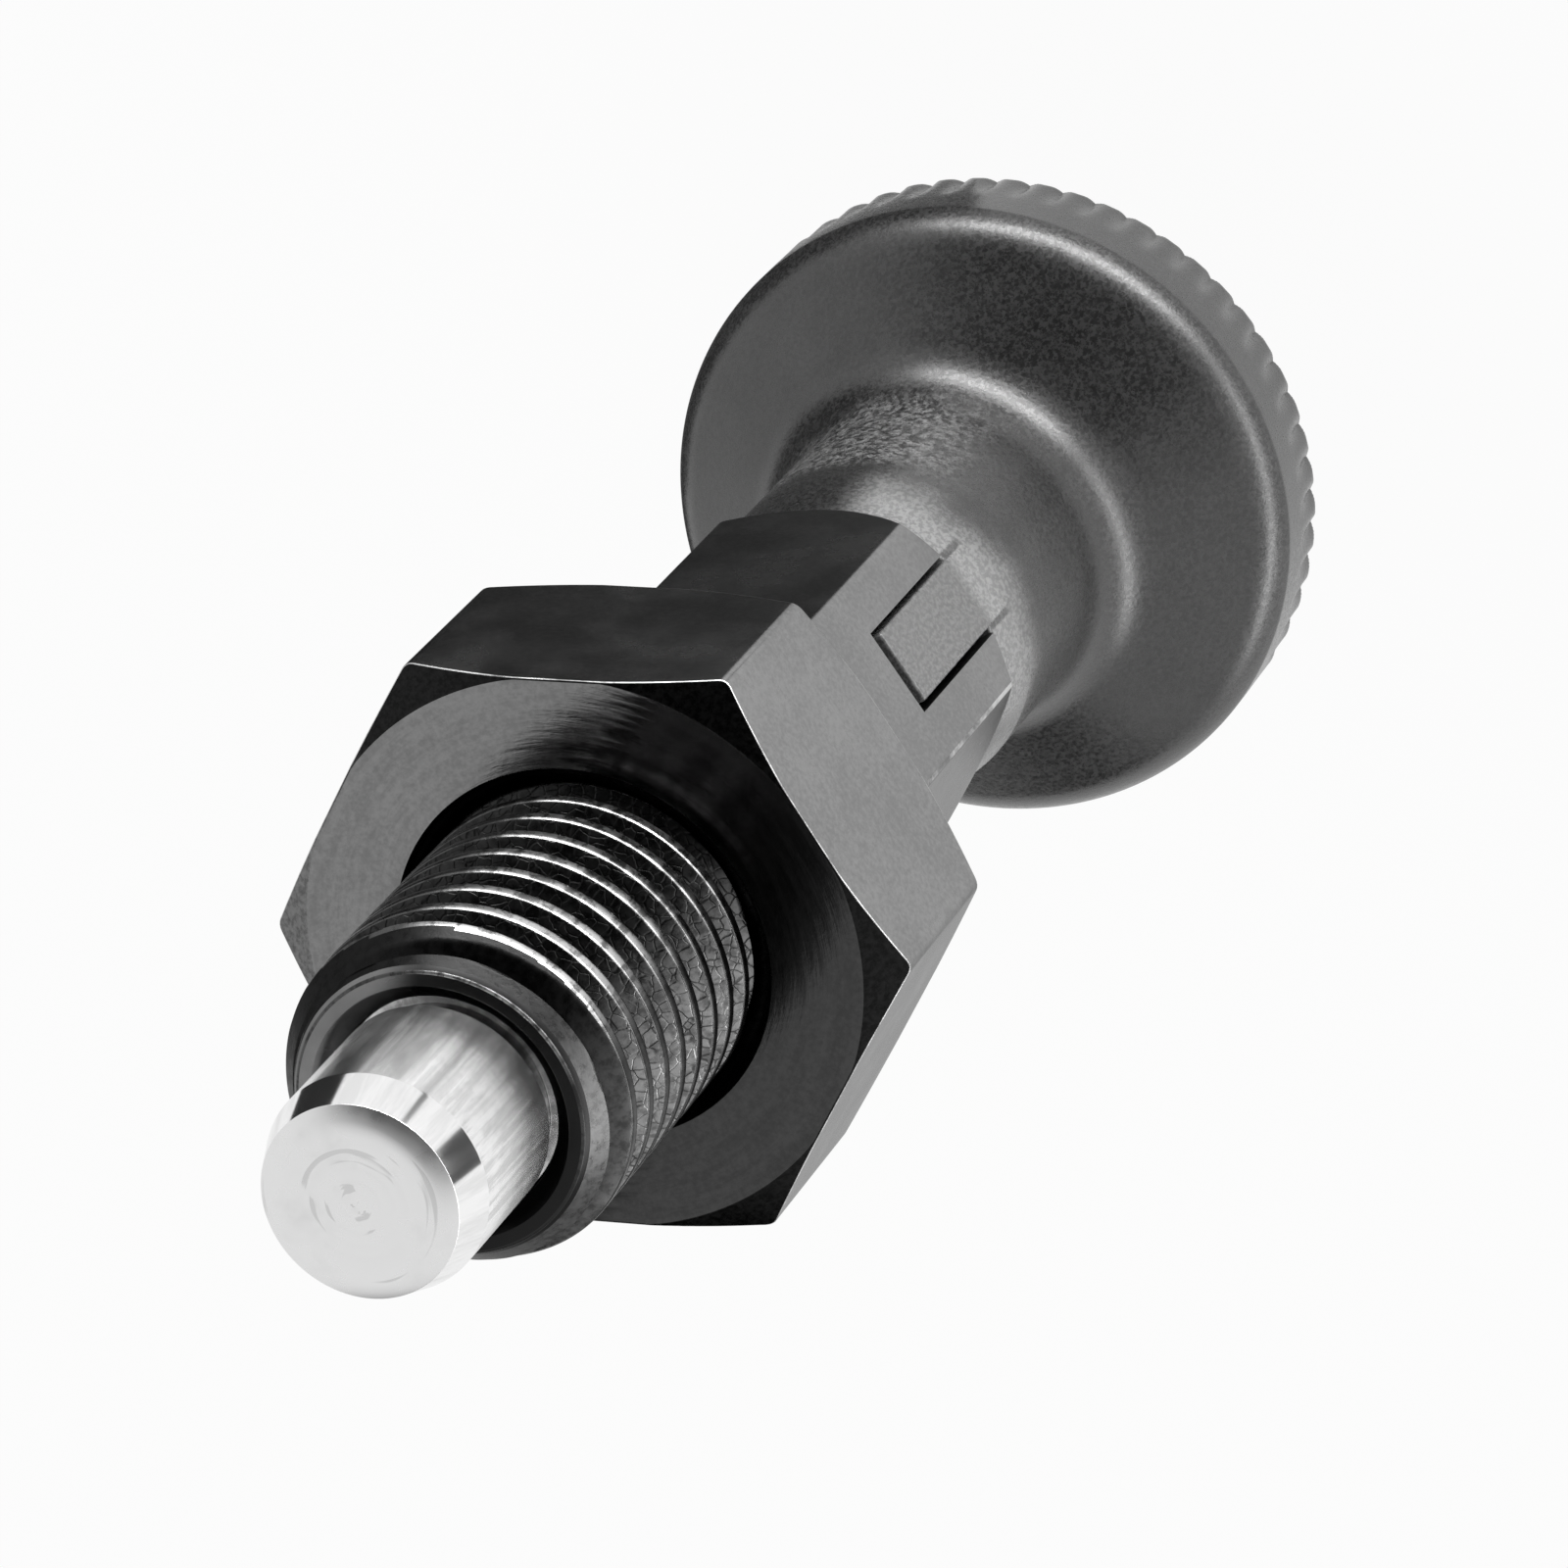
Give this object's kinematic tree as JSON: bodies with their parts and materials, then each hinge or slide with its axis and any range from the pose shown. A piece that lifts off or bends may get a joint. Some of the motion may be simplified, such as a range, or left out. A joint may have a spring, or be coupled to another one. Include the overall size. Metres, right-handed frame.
{
  "type": "indexing plunger",
  "caption": "Spring-loaded locating pin in a threaded sleeve with lock nut; a ribbed mushroom knob retracts it and its lugs seat in slots of the hexagon.",
  "frame": {"origin": "centre of the knob's flat end, on which the plunger stands", "axes": "+Z along the pin, from the knob to the pin's tip; +X through the middle of one locking slot"},
  "size_m": [0.016, 0.016, 0.045],
  "materials": {
    "knob_plastic": "matt black moulded, finely grained",
    "black_steel": "black oxide, satin",
    "bright_steel": "turned and ground, bright",
    "spring_wire": "drawn wire, plain"
  },
  "bodies": {
    "sleeve": {"guide_sleeve": "black_steel", "spring": "spring_wire"},
    "plunger": {"knob": "knob_plastic", "plunger_pin": "bright_steel"},
    "nut": {"lock_nut": "black_steel"}
  },
  "joints": [
    {"name": "knob_pull", "type": "slide", "parent": "sleeve", "child": "plunger", "axis": [0, 0, -1], "range_m": [0, 0.0055], "stiffness_N_per_m": 1120, "springref_m": -0.0046, "deforming": ["spring"]},
    {"name": "nut_turn", "type": "hinge", "parent": "sleeve", "child": "nut", "pos_m": [0, 0, 0.02905], "axis": [0, 0, 1], "continuous": true}
  ]
}
